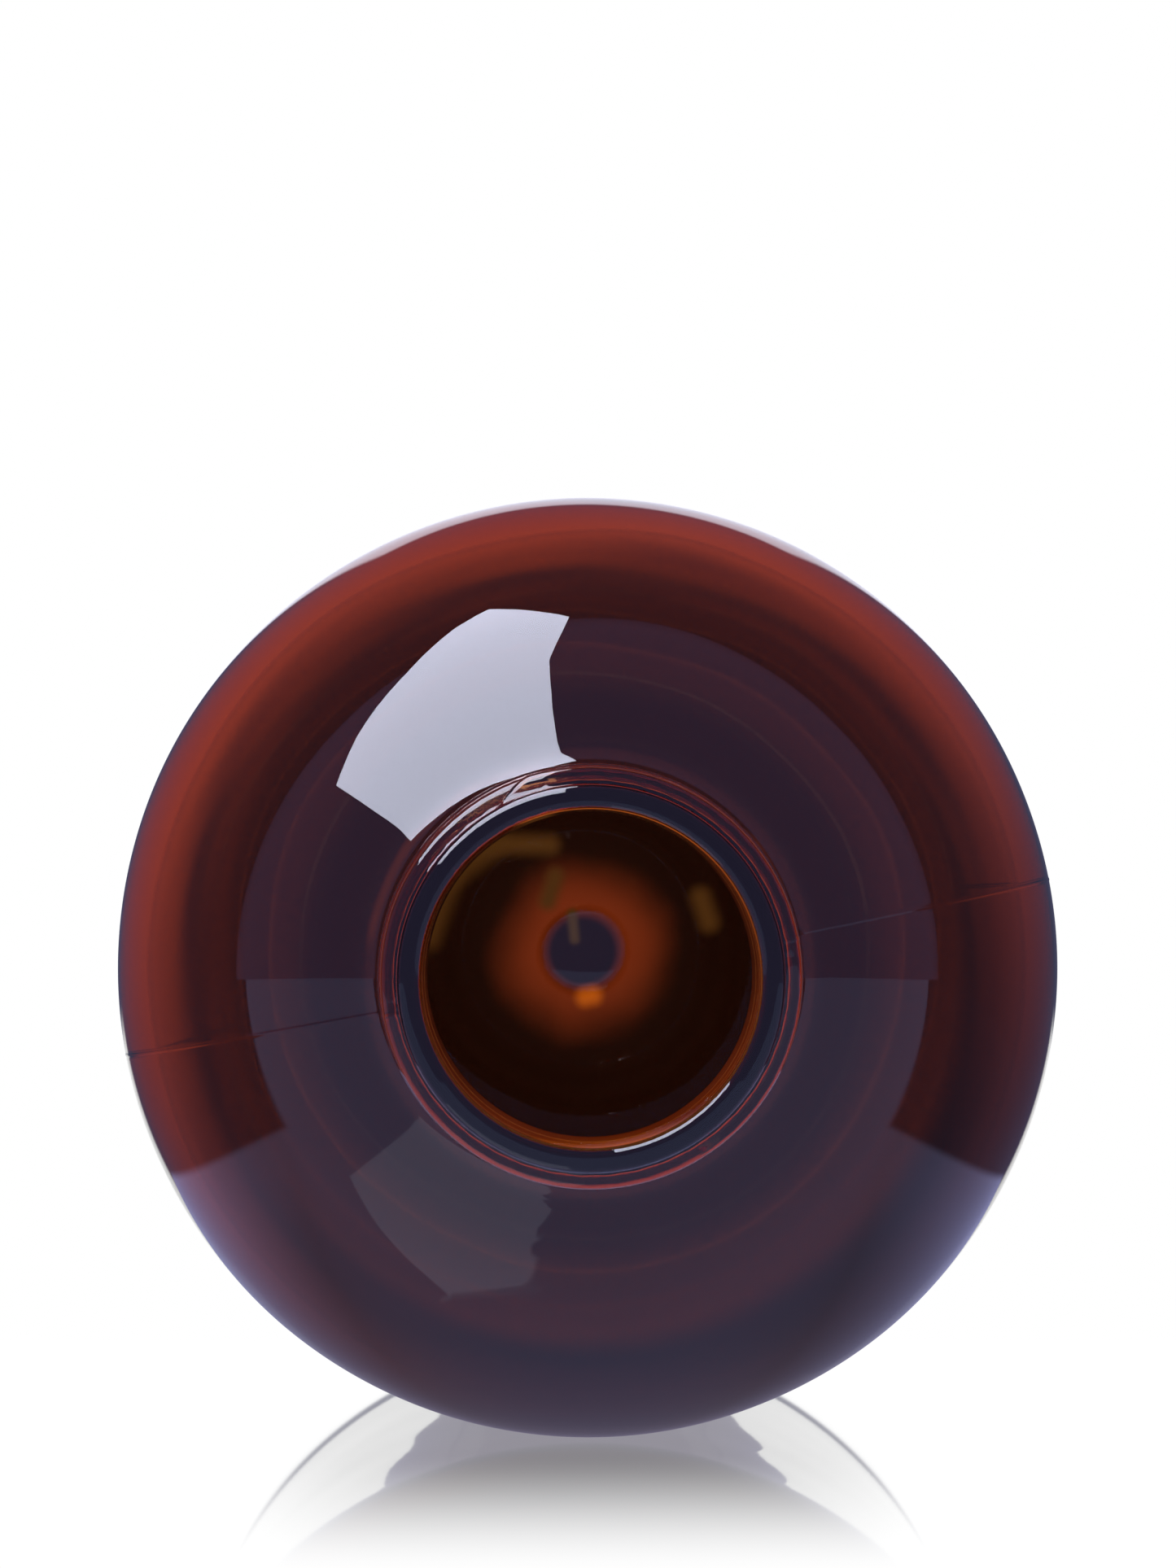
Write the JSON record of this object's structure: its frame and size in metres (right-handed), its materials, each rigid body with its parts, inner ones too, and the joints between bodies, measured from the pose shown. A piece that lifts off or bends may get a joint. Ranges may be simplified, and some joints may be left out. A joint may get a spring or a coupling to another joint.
{
  "type": "growler",
  "caption": "Amber glass growler bottle with a round body, domed shoulder, short neck with a handling bead and right-hand screw thread, open mouth and a hollowed base.",
  "frame": {"origin": "centre of the base, on the plane the bottle stands on", "axes": "+Z along the bottle's axis, from the base to the mouth; +X is 10.8 degrees from the mould's parting plane, measured about +Z"},
  "size_m": [0.095, 0.095, 0.212],
  "materials": {
    "amber_glass": "clear gloss, moulded"
  },
  "bodies": {
    "root": {"bottle": "amber_glass"}
  },
  "joints": []
}
